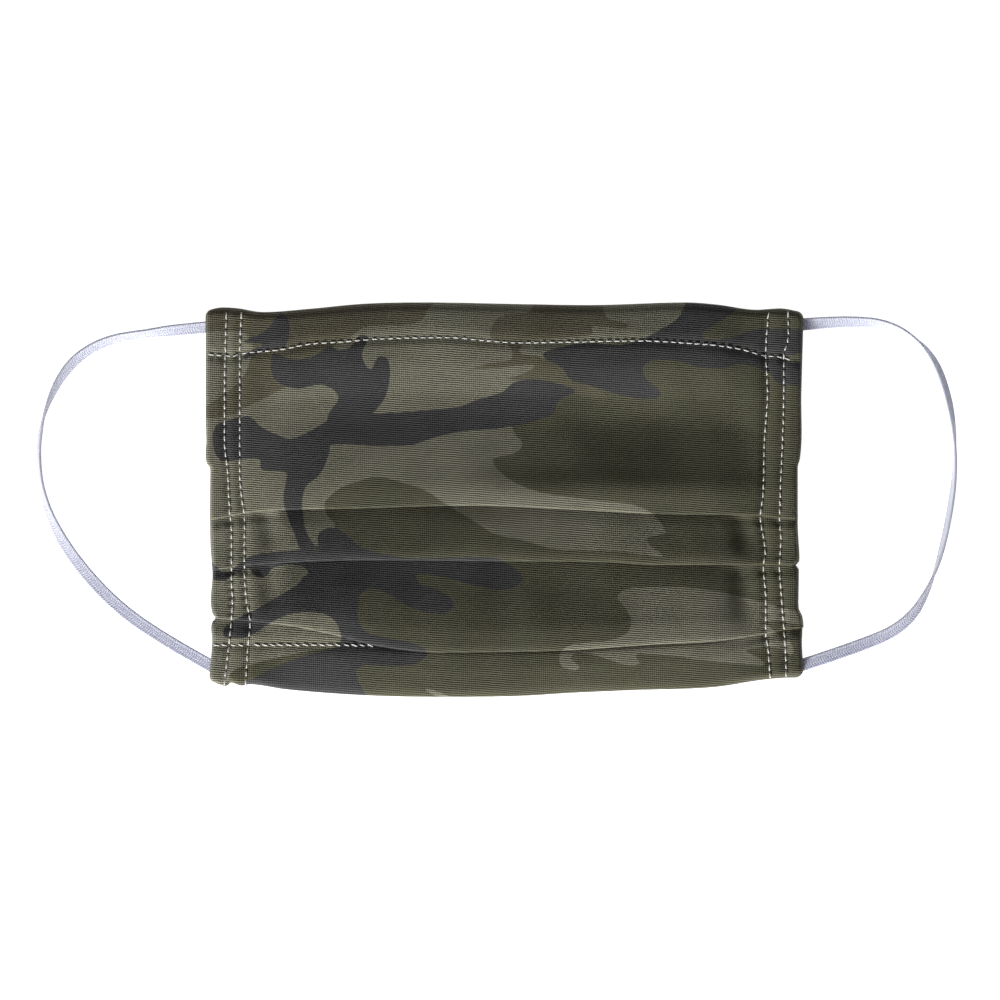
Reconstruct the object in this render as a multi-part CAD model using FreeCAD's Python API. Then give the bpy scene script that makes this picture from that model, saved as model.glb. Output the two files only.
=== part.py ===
"""Three-pleat cloth face mask with a nose wire and two sewn-in elastic ear loops.

Millimetres. The mask lies flat, lining down, printed face up (+Z). +X is to the right of the printed
face and +Y is towards the nose edge. The origin is under the middle of the cloth, on the surface it
lies on. Each pleated panel is a flat strip that slips out from under the panel above it.
"""
import FreeCAD
import Part
import math
import os

Vec = FreeCAD.Vector

# --- Driving dimensions ---------------------------------------------------------------------------
# Cloth outline
mask_width = 180.0
upper_panel_height = 61.5      # nose edge to the first fold, on the centre line
first_pleat_height = 16.6      # first fold to second fold
second_pleat_height = 27.6     # second fold to third fold
chin_panel_height = 13.7       # third fold to the chin edge
nose_corner_drop = 2.1         # how far the nose edge falls from its middle to its corners
chin_corner_rise = 4.9
corner_radius = 3.0
first_fold_drop = 2.6          # how far the fold falls from its middle to the side hems
second_fold_drop = 1.2
third_fold_rise = 7.3          # the third fold sags, so it is higher beside the hems

# Cloth layers and pleats
outer_thickness = 0.5
lining_thickness = 0.45
layer_gap = 0.3                # between strips that slide on each other
pleat_depth = 8.0              # how deep each pleat is tucked
tuck_margin = 3.0              # cloth that stays under the fold when a pleat is fully open

# Hems
side_hem_width = 13.0
side_hem_thickness = 4.0       # the folded ends of all pleats, wrapped in one turn of cloth
side_hem_round = 1.6
side_gap = 0.3                 # between a sliding strip and the side hems
top_hem_depth = 12.0
top_hem_thickness = 1.6
chin_hem_line = 15.8           # chin edge to the hem's inner edge, on the centre line

# Nose wire, in the channel of the top hem
nose_wire_length = 100.0
nose_wire_width = 4.0
nose_wire_thickness = 0.6
nose_wire_inset = 6.0          # nose edge to the wire's centre line
channel_clearance = 0.25

# Topstitching
thread_width = 0.6
thread_height = 0.3
top_row_inset = 10.8
chin_row_inset = 1.2           # in from the inner edge of the chin hem
outer_row_inset = 5.5
inner_row_inset = 11.5

# Ear loops: flat elastic, modelled as a round tube as thick as the elastic is wide
elastic_width = 4.0
elastic_thickness = 1.0
sewn_length = 9.0              # of elastic inside the side hem
swing_offset = 2.3             # side edge to the line about which a loop swings
knuckle_gap = 0.05
corner_share = 0.45            # of the shorter run beside a corner, taken up by its arc

# Each loop's route from its upper end to its lower end. x is measured outwards from the swing line.
left_route = [
    (0.55, 51.8), (14.7, 50.6), (30.7, 47.6), (41.7, 38.5), (48.7, 21.5),
    (48.0, 3.0), (41.9, -12.5), (28.7, -29.0), (13.2, -41.0), (0.55, -48.2),
]
right_route = [
    (0.55, 53.4), (12.7, 54.2), (26.2, 52.6), (36.9, 44.8), (42.5, 29.5), (44.3, 12.0),
    (41.6, -8.0), (36.9, -25.5), (29.2, -38.0), (14.7, -44.5), (0.55, -49.1),
]

# --- Worked-out sizes -----------------------------------------------------------------------------
half_width = mask_width / 2
hem_inner_x = half_width - side_hem_width
swing_x = half_width + swing_offset
ply = outer_thickness + lining_thickness
mask_height = upper_panel_height + first_pleat_height + second_pleat_height + chin_panel_height
nose_y = mask_height / 2
chin_y = -mask_height / 2
first_fold_y = nose_y - upper_panel_height
second_fold_y = first_fold_y - first_pleat_height
third_fold_y = second_fold_y - second_pleat_height
pleat_travel = 2 * pleat_depth
tucked = pleat_travel + tuck_margin
elastic_z = elastic_width / 2
nose_wire_end_round = 0.4 * nose_wire_width
tall = 4 * side_hem_thickness   # taller than anything in the model, for cutting outlines

# Where each sliding strip starts, hidden under the panel above it
first_strip_top = first_fold_y + tucked
second_strip_top = second_fold_y + tucked
chin_strip_top = third_fold_y + third_fold_rise + tucked

# The strips lie like shingles: each one rises just enough to clear the strip under it
step = ply + layer_gap
second_slope = step / (second_strip_top - chin_strip_top)
first_slope = max(step / (first_strip_top - second_strip_top), second_slope)
first_fold_low = first_fold_y - first_fold_drop
upper_low_z = first_slope * (first_strip_top - first_fold_low) + step
upper_high_z = top_hem_thickness - lining_thickness
upper_slope = (upper_low_z - upper_high_z) / (nose_y - first_fold_low)


# --- Helpers --------------------------------------------------------------------------------------
def arc(half, side_y, middle_y):
    """A shallow arc from -half to +half, through its middle on the centre line."""
    return Part.Arc(Vec(-half, side_y, 0), Vec(0, middle_y, 0), Vec(half, side_y, 0)).toShape()


def prism_between(upper, lower):
    """Everything between two arcs of equal width, seen from above."""
    upper_ends = [vertex.Point for vertex in upper.Vertexes]
    lower_ends = [vertex.Point for vertex in lower.Vertexes]
    left = Part.makeLine(lower_ends[0], upper_ends[0])
    right = Part.makeLine(upper_ends[1], lower_ends[1])
    wire = Part.Wire(Part.__sortEdges__([upper, right, lower, left]))
    face = Part.Face(wire)
    face.translate(Vec(0, 0, -tall))
    return face.extrude(Vec(0, 0, 2 * tall))


def outline_prism():
    """The mask's outline with rounded corners, seen from above."""
    nose_edge = arc(half_width, nose_y - nose_corner_drop, nose_y)
    chin_edge = arc(half_width, chin_y + chin_corner_rise, chin_y)
    prism = prism_between(nose_edge, chin_edge)
    upright = [edge for edge in prism.Edges if abs(edge.tangentAt(edge.FirstParameter).z) > 0.99]
    return prism.makeFillet(corner_radius, upright)


def tilted_slab(y_ref, z_ref, slope, thickness, half):
    """A thin slab whose underside passes through (y_ref, z_ref) and rises towards the chin."""
    reach = mask_height
    points = []
    for y, lift in ((reach, 0), (-reach, 0), (-reach, thickness), (reach, thickness)):
        points.append(Vec(-half, y, z_ref + slope * (y_ref - y) + lift))
    points.append(points[0])
    return Part.Face(Part.makePolygon(points)).extrude(Vec(2 * half, 0, 0))


def fold_arc(half, middle_y, side_change, shift=0.0):
    """A fold line at the given half width, or its copy shifted towards the nose."""
    return arc(half, middle_y + side_change + shift, middle_y + shift)


def layer(zone, y_ref, z_ref, slope, thickness, half):
    """One layer of cloth: a tilted slab inside a zone and inside the mask's outline."""
    return tilted_slab(y_ref, z_ref, slope, thickness, half).common(zone).common(outline)


def hem_section(side, wall):
    """The side hem's cross-section, or its inside when wall is more than 0."""
    inner = side * hem_inner_x
    outer = side * (half_width - wall)
    low = wall
    high = side_hem_thickness - wall
    turn = side_hem_round - wall
    middle = outer - side * turn * (1 - math.sqrt(0.5))
    rise = turn * (1 - math.sqrt(0.5))
    edges = [
        Part.makeLine(Vec(inner, 0, low), Vec(outer - side * turn, 0, low)),
        Part.Arc(Vec(outer - side * turn, 0, low), Vec(middle, 0, low + rise),
                 Vec(outer, 0, low + turn)).toShape(),
        Part.makeLine(Vec(outer, 0, low + turn), Vec(outer, 0, high - turn)),
        Part.Arc(Vec(outer, 0, high - turn), Vec(middle, 0, high - rise),
                 Vec(outer - side * turn, 0, high)).toShape(),
        Part.makeLine(Vec(outer - side * turn, 0, high), Vec(inner, 0, high)),
        Part.makeLine(Vec(inner, 0, high), Vec(inner, 0, low)),
    ]
    return Part.Face(Part.Wire(edges))


def hem_bar(side, wall):
    """The hem's section run past both ends of the mask and cut to its outline."""
    face = hem_section(side, wall)
    face.translate(Vec(0, -mask_height, 0))
    return face.extrude(Vec(0, 2 * mask_height, 0)).common(outline)


# --- Cloth panels ---------------------------------------------------------------------------------
def upper_zone(half):
    fold = fold_arc(half, first_fold_y, -first_fold_drop)
    above = arc(half, nose_y + corner_radius, nose_y + corner_radius + nose_corner_drop)
    return prism_between(above, fold)


def top_hem_zone(half):
    above = arc(half, nose_y + corner_radius, nose_y + corner_radius + nose_corner_drop)
    inner = arc(half, nose_y - top_hem_depth - nose_corner_drop, nose_y - top_hem_depth)
    return prism_between(above, inner)


def upper_panel_outer():
    half = hem_inner_x
    return layer(upper_zone(half), nose_y, top_hem_thickness, upper_slope, outer_thickness, half)


def upper_panel_lining():
    half = hem_inner_x
    lining = layer(upper_zone(half), nose_y, upper_high_z, upper_slope, lining_thickness, half)
    return lining.cut(top_hem_zone(half))


def channel(clearance):
    """The nose wire's space in the top hem, or the wire itself with no clearance."""
    length = nose_wire_length + 2 * clearance
    width = nose_wire_width + 2 * clearance
    low = (top_hem_thickness - nose_wire_thickness) / 2
    corner = Vec(-length / 2, nose_y - nose_wire_inset - width / 2, low)
    return Part.makeBox(length, width, nose_wire_thickness, corner)


def top_hem():
    """The turned-under cloth along the nose edge, filling the space under the outer cloth."""
    half = hem_inner_x
    under_cloth = tilted_slab(nose_y, top_hem_thickness - tall, upper_slope, tall, half)
    above_table = Part.makeBox(2 * half, 2 * mask_height, tall, Vec(-half, -mask_height, 0))
    hem = under_cloth.common(above_table).common(top_hem_zone(half)).common(outline)
    return hem.cut(channel(channel_clearance))


def nose_wire():
    wire = channel(0)
    upright = [edge for edge in wire.Edges if abs(edge.tangentAt(edge.FirstParameter).z) > 0.99]
    return wire.makeFillet(nose_wire_end_round, upright)


def pleat_layers(zone, y_ref, slope, half):
    """The lining and the outer cloth of one sliding strip."""
    lining = layer(zone, y_ref, 0, slope, lining_thickness, half)
    outer = layer(zone, y_ref, lining_thickness, slope, outer_thickness, half)
    return lining, outer


def first_pleat():
    half = hem_inner_x - side_gap
    upper = fold_arc(half, first_fold_y, -first_fold_drop, tucked)
    lower = fold_arc(half, second_fold_y, -second_fold_drop)
    return pleat_layers(prism_between(upper, lower), first_strip_top, first_slope, half)


def second_pleat():
    half = hem_inner_x - side_gap
    upper = fold_arc(half, second_fold_y, -second_fold_drop, tucked)
    lower = fold_arc(half, third_fold_y, third_fold_rise)
    return pleat_layers(prism_between(upper, lower), second_strip_top, second_slope, half)


def chin_zone(half, lower_y):
    upper = fold_arc(half, third_fold_y, third_fold_rise, tucked)
    lower = Part.makeLine(Vec(-half, lower_y, 0), Vec(half, lower_y, 0))
    return prism_between(upper, lower)


def chin_panel():
    """The lining stops at the hem; the outer cloth runs on to the chin edge."""
    half = hem_inner_x - side_gap
    hem_line = chin_y + chin_hem_line
    lining = layer(chin_zone(half, hem_line), chin_y, 0, 0, lining_thickness, half)
    outer = layer(chin_zone(half, chin_y), chin_y, lining_thickness, 0, outer_thickness, half)
    return lining, outer


def chin_hem():
    """The cloth turned under along the chin edge."""
    half = hem_inner_x - side_gap
    strip = Part.makeBox(2 * half, chin_hem_line, lining_thickness, Vec(-half, chin_y, 0))
    return strip.common(outline)


# --- Side hems, with the ends of the pleats and of the elastic inside them ------------------------
def sewn_end(side, y):
    """The end of an elastic: sewn inside the hem, with a rounded tip on the swing line."""
    low = elastic_z - elastic_thickness / 2
    length = swing_offset + sewn_length
    x = swing_x - length if side > 0 else -swing_x
    flat = Part.makeBox(length, elastic_width, elastic_thickness, Vec(x, y - elastic_width / 2, low))
    tip = Part.makeCylinder(elastic_thickness / 2, elastic_width,
                            Vec(side * swing_x, y - elastic_width / 2, elastic_z), Vec(0, 1, 0))
    return flat.fuse(tip).removeSplitter()


def sewn_ends(side, route):
    return [sewn_end(side, route[0][1]), sewn_end(side, route[-1][1])]


def side_hem(side, ends):
    """One turn of outer cloth wrapped round the ends of the pleats."""
    hem = hem_bar(side, 0).cut(hem_bar(side, outer_thickness))
    for end in ends:
        hem = hem.cut(end)
    return hem


def pleat_ends(side, ends):
    """The pressed stack of all pleats' ends inside a side hem."""
    stack = hem_bar(side, outer_thickness)
    for end in ends:
        stack = stack.cut(end)
    return stack


# --- Topstitching ---------------------------------------------------------------------------------
def top_row():
    half = hem_inner_x
    side_y = nose_y - top_row_inset - nose_corner_drop
    upper = arc(half, side_y + thread_width / 2, nose_y - top_row_inset + thread_width / 2)
    lower = arc(half, side_y - thread_width / 2, nose_y - top_row_inset - thread_width / 2)
    surface_z = top_hem_thickness + outer_thickness
    return layer(prism_between(upper, lower), nose_y, surface_z, upper_slope, thread_height, half)


def chin_row():
    half = hem_inner_x - side_gap
    y = chin_y + chin_hem_line - chin_row_inset
    return Part.makeBox(2 * half, thread_width, thread_height, Vec(-half, y - thread_width / 2, ply))


def side_row(side, inset):
    x = side * (half_width - inset)
    corner = Vec(x - thread_width / 2, -mask_height, side_hem_thickness)
    return Part.makeBox(thread_width, 2 * mask_height, thread_height, corner).common(outline)


# --- Ear loops ------------------------------------------------------------------------------------
def corner_arc(before, corner, after):
    """The tangent arc at one corner of a route, and its radius."""
    back = before - corner
    ahead = after - corner
    reach = corner_share * min(back.Length, ahead.Length)
    turn = math.pi - back.getAngle(ahead)
    radius = reach / math.tan(turn / 2)
    start = corner + back.normalize() * reach
    end = corner + ahead.normalize() * reach
    bisector = (back + ahead).normalize()
    middle = corner + bisector * (radius / math.cos(turn / 2) - radius)
    return start, middle, end, radius


def ear_loop(side, route):
    """A round tube of straight runs joined by tangent arcs, lying on the table."""
    points = [Vec(side * (swing_x + out), y, elastic_z) for out, y in route]
    edges = []
    radii = []
    last = points[0]
    for before, corner, after in zip(points, points[1:], points[2:]):
        start, middle, end, radius = corner_arc(before, corner, after)
        edges.append(Part.LineSegment(last, start).toShape())
        edges.append(Part.Arc(start, middle, end).toShape())
        radii.append(round(radius, 1))
        last = end
    edges.append(Part.LineSegment(last, points[-1]).toShape())
    path = Part.Wire(edges)
    section = Part.Wire(Part.makeCircle(elastic_width / 2, points[0], points[1] - points[0]))
    tube = path.makePipeShell([section], True, False)
    expected = math.pi * (elastic_width / 2) ** 2 * path.Length
    print("ear loop: radii", radii, "length", round(path.Length, 1),
          "volume", round(tube.Volume, 1), "section x length", round(expected, 1))
    return square_ends(tube, side)


def square_ends(tube, side):
    """Cuts both ends of a loop square, a knuckle's gap away from the sewn ends' tips."""
    start = swing_x + elastic_thickness / 2 + knuckle_gap
    far = swing_x + mask_width
    x = start if side > 0 else -far
    return tube.common(Part.makeBox(far - start, 2 * mask_height, tall, Vec(x, -mask_height, -1)))


# --- Assembly -------------------------------------------------------------------------------------
outline = outline_prism()


def all_nodes():
    nodes = {}
    nodes["upper_panel_outer"] = upper_panel_outer()
    nodes["upper_panel_lining"] = upper_panel_lining()
    nodes["top_hem"] = top_hem()
    nodes["nose_wire"] = nose_wire()
    nodes["first_pleat_lining"], nodes["first_pleat_outer"] = first_pleat()
    nodes["second_pleat_lining"], nodes["second_pleat_outer"] = second_pleat()
    nodes["chin_panel_lining"], nodes["chin_panel_outer"] = chin_panel()
    nodes["chin_hem"] = chin_hem()
    nodes["top_hem_stitching"] = top_row()
    nodes["chin_hem_stitching"] = chin_row()
    for name, side, route in (("left", -1, left_route), ("right", 1, right_route)):
        ends = sewn_ends(side, route)
        nodes[name + "_side_hem"] = side_hem(side, ends)
        nodes[name + "_pleat_ends"] = pleat_ends(side, ends)
        nodes[name + "_sewn_elastic"] = Part.makeCompound(ends)
        nodes[name + "_outer_stitching"] = side_row(side, outer_row_inset)
        nodes[name + "_inner_stitching"] = side_row(side, inner_row_inset)
        nodes[name + "_ear_loop"] = ear_loop(side, route)
    return nodes


def write(nodes):
    os.makedirs("parts", exist_ok=True)
    for name, shape in nodes.items():
        shape.exportStep("parts/" + name + ".step")
        print(name, "solids", len(shape.Solids), "volume", round(shape.Volume, 2))


write(all_nodes())
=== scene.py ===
"""The camo face mask's looks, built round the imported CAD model. Sizes are in millimetres until a mesh is
made, and mm() turns them into the frame's metres. +X is right, +Y is towards the nose edge, +Z is out of
the printed face, and the mask lies on the floor, lining down."""
import math

import bpy
import numpy as np
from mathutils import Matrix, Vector


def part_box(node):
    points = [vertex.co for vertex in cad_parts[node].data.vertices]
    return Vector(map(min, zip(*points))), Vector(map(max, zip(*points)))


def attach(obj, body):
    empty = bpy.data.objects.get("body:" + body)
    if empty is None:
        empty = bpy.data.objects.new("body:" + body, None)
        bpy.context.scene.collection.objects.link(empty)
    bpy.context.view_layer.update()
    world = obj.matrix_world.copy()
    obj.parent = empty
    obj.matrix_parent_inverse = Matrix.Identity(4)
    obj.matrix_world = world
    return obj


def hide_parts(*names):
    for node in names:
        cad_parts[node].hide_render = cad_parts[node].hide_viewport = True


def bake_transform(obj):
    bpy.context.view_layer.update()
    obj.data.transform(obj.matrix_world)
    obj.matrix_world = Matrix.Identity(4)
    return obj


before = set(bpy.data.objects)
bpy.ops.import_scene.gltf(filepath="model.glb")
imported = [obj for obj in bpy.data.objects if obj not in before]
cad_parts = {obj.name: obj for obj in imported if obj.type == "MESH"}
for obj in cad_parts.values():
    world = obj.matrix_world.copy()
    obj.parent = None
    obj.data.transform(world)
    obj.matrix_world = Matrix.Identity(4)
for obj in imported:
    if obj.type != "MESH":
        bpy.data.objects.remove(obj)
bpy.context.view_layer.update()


def mm(values):
    return np.asarray(values, float) * 0.001


# --- Camera ---------------------------------------------------------------------------------------
VIEW_WIDTH = 302.5             # what the camera sees across, at the cloth
VIEW_CENTRE = (-1.4, -0.1)
VIEW_HEIGHT = 1500.0
SENSOR = 36.0


def make_camera():
    """Straight above the mask, with the nose edge at the top."""
    data = bpy.data.cameras.new("camera")
    data.sensor_width = SENSOR
    data.lens = SENSOR * VIEW_HEIGHT / VIEW_WIDTH
    data.clip_end = 20
    camera = bpy.data.objects.new("camera", data)
    camera.location = mm((*VIEW_CENTRE, VIEW_HEIGHT))
    bpy.context.scene.collection.objects.link(camera)
    bpy.context.scene.camera = camera


make_camera()

# --- Mesh helpers ---------------------------------------------------------------------------------


def hermite(points, at):
    """A smooth curve through points (position, value), read at positions."""
    points = sorted(points)
    px = np.array([p[0] for p in points], float)
    py = np.array([p[1] for p in points], float)
    at = np.clip(np.asarray(at, float), px[0], px[-1])
    slope = np.diff(py) / np.diff(px)
    tangent = np.concatenate([[slope[0]], (slope[1:] + slope[:-1]) / 2, [slope[-1]]])
    flat = np.concatenate([[False], slope[1:] * slope[:-1] <= 0, [False]])
    tangent[flat] = 0
    i = np.clip(np.searchsorted(px, at) - 1, 0, len(px) - 2)
    step = px[i + 1] - px[i]
    u = (at - px[i]) / step
    return (
        (2 * u**3 - 3 * u**2 + 1) * py[i] + (u**3 - 2 * u**2 + u) * step * tangent[i]
        + (3 * u**2 - 2 * u**3) * py[i + 1] + (u**3 - u**2) * step * tangent[i + 1]
    )


def smoothstep(low, high, x):
    u = np.clip((np.asarray(x, float) - low) / (high - low), 0, 1)
    return u * u * (3 - 2 * u)


def bell(x, width):
    return np.exp(-((np.asarray(x, float) / width) ** 2))


def make_mesh(name, points, faces, attributes=()):
    """A smooth-shaded object from points in mm. attributes are (name, kind, values)."""
    mesh = bpy.data.meshes.new(name)
    mesh.from_pydata(mm(points).tolist(), [], [tuple(int(i) for i in f) for f in faces])
    for label, kind, values in attributes:
        layer = mesh.attributes.new(label, kind, "POINT")
        field = "vector" if kind == "FLOAT_VECTOR" else "value"
        layer.data.foreach_set(field, np.asarray(values, np.float32).ravel())
    mesh.shade_smooth()
    made = bpy.data.objects.new(name, mesh)
    bpy.context.scene.collection.objects.link(made)
    return made


def grid_faces(keep):
    """The faces of a grid, for each cell that keep is true for."""
    rows, columns = keep.shape
    index = np.arange((rows + 1) * (columns + 1)).reshape(rows + 1, columns + 1)
    corners = (index[:-1, :-1], index[:-1, 1:], index[1:, 1:], index[1:, :-1])
    return np.stack([c[keep] for c in corners], axis=1)


# --- The outline and the folds, as they lie -------------------------------------------------------
NOSE_EDGE = [(-90, 57.6), (-87, 58.1), (-82.4, 57.9), (-73.4, 56.7), (-58.8, 57.7), (-42.5, 59.2),
             (-24, 59.6), (5, 59.1), (25, 58.8), (55, 59.6), (64, 59), (77, 57.4), (84.5, 57.8), (90, 57)]
CHIN_EDGE = [(-90, -55.4), (-86.5, -56.3), (-84.6, -55.2), (-81, -56.2), (-78.5, -55.8), (-66.7, -57.3),
             (-42.5, -59.1), (-19.5, -59.6), (5, -59.3), (20, -58.4), (38, -57.6), (64, -56.6),
             (78.5, -54.5), (85.5, -53.9), (90, -53.8)]
SIDE_EDGE = {
    -1: [(-57, 89.4), (-53, 89.2), (-43, 88.3), (-36.6, 88.2), (-35.6, 87.2), (-34.6, 87.9), (-22, 88),
         (-14, 88.6), (0, 88.7), (9.4, 88.6), (10.8, 89.6), (18, 89.8), (27, 90), (58, 90)],
    1: [(-57, 90), (-52, 90.2), (-44, 89.8), (-34.8, 89.5), (-33.4, 88.7), (-29, 88.5), (-21, 88.6),
        (-19.6, 87.6), (-18.4, 88.8), (-9, 88.3), (3, 88.2), (10, 88.2), (12, 88.8), (32, 89.3), (58, 90)],
}
FOLD_1 = [(-90, -6.2), (-83, -5), (-77, -3.9), (-42, -2.6), (-10, -1.8), (18, -2.9), (45, -4.3),
          (77, -4.9), (84, -5.6), (90, -6)]
FOLD_2 = [(-90, -21.5), (-83, -20.4), (-72, -19.4), (-42, -18.3), (-1, -18.6), (31, -18.9), (45, -19.7),
          (78, -19.7), (90, -19.8)]
FOLD_3 = [(-90, -35.8), (-77, -36.8), (-65.5, -38), (-52, -40.7), (-39, -44), (-19.5, -46.1), (2, -45.9),
          (18, -45.5), (45, -43.7), (64, -42.7), (78, -40.6), (84, -39.4), (90, -38.6)]
HALF_WIDTH = 90.0              # half of the cloth, from side edge to centre line
NOSE_HEM_DEPTH = 12.0
CHIN_HEM_LINE = -43.4
HIDDEN = 26.0                  # cloth under each fold
FOLD_ROUND = 0.55
UNDER_FOLD = 8.7               # cloth that turns under at each fold
CHIN_TURN = 14.5               # cloth turned under along the chin edge
SIDE_TURN = 13.0               # cloth turned under along each side edge
EDGE_ROUND = 2.6
SIDE_ROUND = 1.5
CORNER_ROUND = 2.4
SIDE_WRAP = 2.0                # cloth taken up by going round a side edge
MIDDLE_Z = 2.0                 # where front and back meet along the outline
BACK_Z = 0.12

STITCH_PITCH = 2.45
# Rows of topstitching, as (position along, position across)
LEFT_OUTER = [(58, -83.9), (31, -84.5), (17.4, -84.5), (9, -83.6), (-3, -83), (-10, -82.4), (-25, -82.4),
              (-30.4, -82.1), (-39, -82.7), (-44, -83.2), (-50.7, -84), (-56, -84.6)]
LEFT_INNER = [(58, -79.3), (44, -79.9), (8, -79.9), (-1, -79.1), (-5, -78.5), (-21, -78.5), (-30.4, -77.9),
              (-37, -76.8), (-44, -77.4), (-56, -78.2)]
RIGHT_INNER = [(58, 79.7), (44, 78.8), (32, 79.3), (17.4, 78.4), (1.4, 77.9), (-4.8, 77.2), (-16, 78.6),
               (-20, 78.1), (-30.4, 78.8), (-40, 78.8), (-44.6, 79.4), (-55, 80.2)]
RIGHT_OUTER = [(58, 85.4), (47.6, 85.3), (43.7, 84.2), (34, 84.2), (17.4, 83.8), (-0.5, 83), (-6, 82.9),
               (-12, 83.3), (-20, 82.9), (-27, 83.3), (-35, 83.9), (-46, 84.7), (-55, 84.9)]
TOP_ROW = [(-89, 43.8), (-82, 43.4), (-79.7, 44), (-75, 44.6), (-68, 45.2), (-59, 46.9), (-49, 47.6),
           (-39, 48.4), (-17, 48.9), (-6, 48), (5, 47.3), (18, 47.5), (41, 47.9), (58, 47), (64, 46.5),
           (72, 45.2), (78.5, 43.4), (82.4, 43.1), (85, 42.5), (88, 41.6)]
CHIN_ROW = [(-88, -43.9), (-60, -43.8), (-20, -44.1), (20, -44), (50, -42.6), (64, -41.2), (76, -38.6)]


# --- The lie of the cloth -------------------------------------------------------------------------
# Each panel's height along its visible length, from its upper line (0) to its lower fold (1).
UPPER_PROFILE = [(0, 4.4), (0.07, 5.2), (0.14, 5.8), (0.2, 6.1), (0.28, 6.1), (0.38, 5.5), (0.47, 4.9),
                 (0.56, 5.0), (0.66, 5.7), (0.76, 6.5), (0.86, 7.1), (0.93, 7.25), (1, 7.1)]
FIRST_PROFILE = [(-1.7, 1.0), (-1, 1.1), (-0.3, 2.2), (0, 3.3), (0.25, 4.2), (0.5, 4.9), (0.7, 5.4),
                 (0.85, 5.6), (1, 5.3)]
SECOND_PROFILE = [(-1.8, 1.0), (-0.6, 1.05), (-0.2, 1.7), (0, 2.9), (0.2, 3.9), (0.4, 4.8), (0.6, 5.6),
                  (0.8, 6.2), (0.92, 6.2), (1, 5.9)]
CHIN_PROFILE = [(-2.2, 1.0), (-1.2, 1.05), (-0.5, 1.8), (0, 4.0), (0.3, 4.1), (0.6, 3.7), (1, 2.9)]
HEM_Z = 4.7
UPPER, FIRST, SECOND, CHIN = range(4)
STRIPS = {FIRST: "first_pleat", SECOND: "second_pleat", CHIN: "chin_panel"}
PANELS = {UPPER: "upper_panel", **STRIPS}
SIDES = ((-1, "left"), (1, "right"))
PROFILES = (UPPER_PROFILE, FIRST_PROFILE, SECOND_PROFILE, CHIN_PROFILE)
UPPER_LINES = (NOSE_EDGE, FOLD_1, FOLD_2, FOLD_3)
LOWER_LINES = (FOLD_1, FOLD_2, FOLD_3, CHIN_EDGE)
EDGE_PROUD = (0.35, 0.1, 0.3, 0.0)   # how far each panel stands out at the side edges


def waves(x, y, seed, length, count=5):
    """Soft uneven waves, about one unit high, from a few crossed sines."""
    rng = np.random.default_rng(seed)
    total = np.zeros(np.broadcast(x, y).shape)
    for _ in range(count):
        angle = rng.uniform(-0.5, 0.5) + (math.pi / 2 if rng.random() < 0.5 else 0)
        scale = length * rng.uniform(0.7, 1.5)
        phase = rng.uniform(0, 2 * math.pi)
        total += np.sin(2 * math.pi * (x * math.cos(angle) + y * math.sin(angle)) / scale + phase)
    return total / count


def pucker(x, y):
    """How far the rows of stitches pull the cloth in."""
    depth = np.zeros(np.broadcast(x, y).shape)
    for row in (LEFT_OUTER, LEFT_INNER, RIGHT_INNER, RIGHT_OUTER):
        across = x - hermite(row, y)
        depth += 0.75 * bell(across, 1.25) * (0.8 + 0.2 * np.cos(2 * math.pi * y / STITCH_PITCH))
    top = y - hermite(TOP_ROW, x)
    depth += 0.7 * bell(top, 1.4) * (0.8 + 0.2 * np.cos(2 * math.pi * x / STITCH_PITCH))
    return depth


def height(panel, x, y):
    """The front of the cloth before its edges are rounded."""
    upper = hermite(UPPER_LINES[panel], x)
    lower = hermite(LOWER_LINES[panel], x)
    t = (upper - y) / (upper - lower)
    z = hermite(PROFILES[panel], t)
    side = np.abs(x)
    in_hem = smoothstep(62, 80, side)
    ridge = HEM_Z - 0.9 * smoothstep(0.25, 0, t) * (panel > UPPER)
    near_folds = 0.35 * np.sin(math.pi * np.clip(t, 0, 1))
    z = z * (1 - in_hem) + (ridge - near_folds) * in_hem
    swell = waves(x, y, 3 + panel, 46) * 0.55 + waves(x, y, 13 + panel, 19) * 0.18
    z = z + swell * (1 - in_hem) * np.clip(t * 3, 0, 1) * smoothstep(-0.1, 0.4, 1.02 - t)
    if panel == UPPER:
        z = z - 1.6 * bell(x - 48, 30) * bell(y - 24, 11) + 0.9 * bell(x - 30, 60) * bell(y - 3, 5)
        z = z + 0.8 * bell(x - 76, 5) * bell(y - 30, 9)
    z = z + 0.16 * np.clip(x - 78, 0, 8)
    gather = bell(side - 71.5, 3.2) * (1.5 if panel in (FIRST, SECOND) else 0.25)
    z = z - gather * smoothstep(0.95, 0.3, t) * smoothstep(-0.1, 0.15, t)
    chin_row = bell(y - hermite(CHIN_ROW, x), 1.3) * 0.5 * (panel == CHIN)
    return z - pucker(x, y) * (0.35 + 0.65 * smoothstep(-0.05, 0.1, t)) - chin_row


def edge_steps(flat_step, flat_length, round_radius):
    """Distances inward from an edge, and the share of the rounding, from the edge to the flat."""
    angles = np.linspace(0, math.pi / 2, 7)
    curve = [(round_radius * (1 - math.cos(a)), math.sin(a)) for a in angles]
    count = int((flat_length - round_radius) / flat_step)
    return curve + [(round_radius + flat_step * (i + 1), 1.0) for i in range(count)]


def across_columns():
    """Columns of one half, from the hem's inner edge on the back, round the side edge, to the centre line:
    (distance from the edge, share of the rounding, on the front)."""
    hem = edge_steps(0.55, 14.0, SIDE_ROUND)
    back = [(d, f, False) for d, f in edge_steps(1.2, SIDE_TURN, SIDE_ROUND)][:0:-1]
    front = [(d, f, True) for d, f in hem]
    reach = HALF_WIDTH - hem[-1][0]
    count = int(reach)
    inner = [(hem[-1][0] + reach * (i + 1) / count, 1.0, True) for i in range(count)]
    return back + front + inner


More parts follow.
